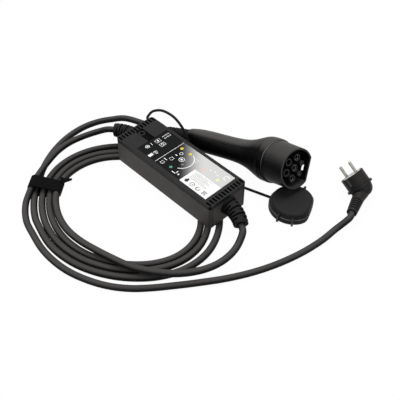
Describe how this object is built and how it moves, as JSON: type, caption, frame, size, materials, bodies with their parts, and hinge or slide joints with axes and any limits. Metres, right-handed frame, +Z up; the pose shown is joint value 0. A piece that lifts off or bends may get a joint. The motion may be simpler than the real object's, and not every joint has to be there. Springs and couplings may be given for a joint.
{
  "type": "portable ev charger",
  "caption": "Portable charging lead for electric cars: control box with boots, mains plug, vehicle connector with a tethered dust cap, and its cable in a strapped coil.",
  "frame": {"origin": "centre of the bottom of the box round the control box with its boots, the vehicle connector and the dust cap, on the floor", "axes": "+X along the control box from its mains end to its vehicle end, +Y from the control box to the connector, +Z up"},
  "size_m": [0.4531, 0.437, 0.0852],
  "materials": {
    "housing_plastic": "moulded, fine spark texture",
    "cover_plastic": "moulded, satin",
    "seal_rubber": "moulded, matte",
    "label_print": "printed film, satin",
    "screw_steel": "zinc plated",
    "eyelet_plastic": "moulded, satin",
    "board_laminate": "solder mask",
    "relay_plastic": "moulded",
    "sensor_plastic": "moulded",
    "capacitor_sleeve": "shrink sleeve",
    "terminal_plastic": "moulded",
    "light_guide": "clear moulding",
    "boot_rubber": "moulded, satin",
    "grip_plastic": "moulded, satin with soft highlights",
    "collar_rubber": "moulded, matte",
    "shroud_plastic": "moulded, satin",
    "carrier_plastic": "moulded",
    "contact_silver": "silver plated",
    "cap_rubber": "moulded, satin",
    "tether_rubber": "moulded, satin",
    "plug_rubber": "moulded, satin",
    "plug_face_plastic": "moulded",
    "pin_nickel": "nickel plated brass",
    "cable_jacket": "extruded, satin",
    "strap_webbing": "woven hook and loop"
  },
  "bodies": {
    "root": {"base_housing": "housing_plastic", "top_cover": "cover_plastic", "cover_seal": "seal_rubber", "label_plate": "label_print", "cover_screws": "screw_steel", "hanging_eyelet": "eyelet_plastic", "circuit_board": "board_laminate", "board_screws": "screw_steel", "relays": "relay_plastic", "current_sensor": "sensor_plastic", "capacitors": "capacitor_sleeve", "terminal_blocks": "terminal_plastic", "light_guides": "light_guide", "front_boot": "boot_rubber", "rear_boot": "boot_rubber", "grip": "grip_plastic", "collar_seal": "collar_rubber", "shroud": "shroud_plastic", "contact_carrier": "carrier_plastic", "power_contacts": "contact_silver", "pilot_contacts": "contact_silver", "grip_tail": "boot_rubber", "dust_cap": "cap_rubber", "cap_tether": "tether_rubber", "tether_ring": "tether_rubber", "plug_body": "plug_rubber", "plug_face": "plug_face_plastic", "plug_pins": "pin_nickel", "earth_clips": "pin_nickel", "ev_cable_lead": "cable_jacket", "ev_cable_coil": "cable_jacket", "ev_cable_run": "cable_jacket", "mains_cable": "cable_jacket", "cable_strap": "strap_webbing"}
  },
  "joints": []
}
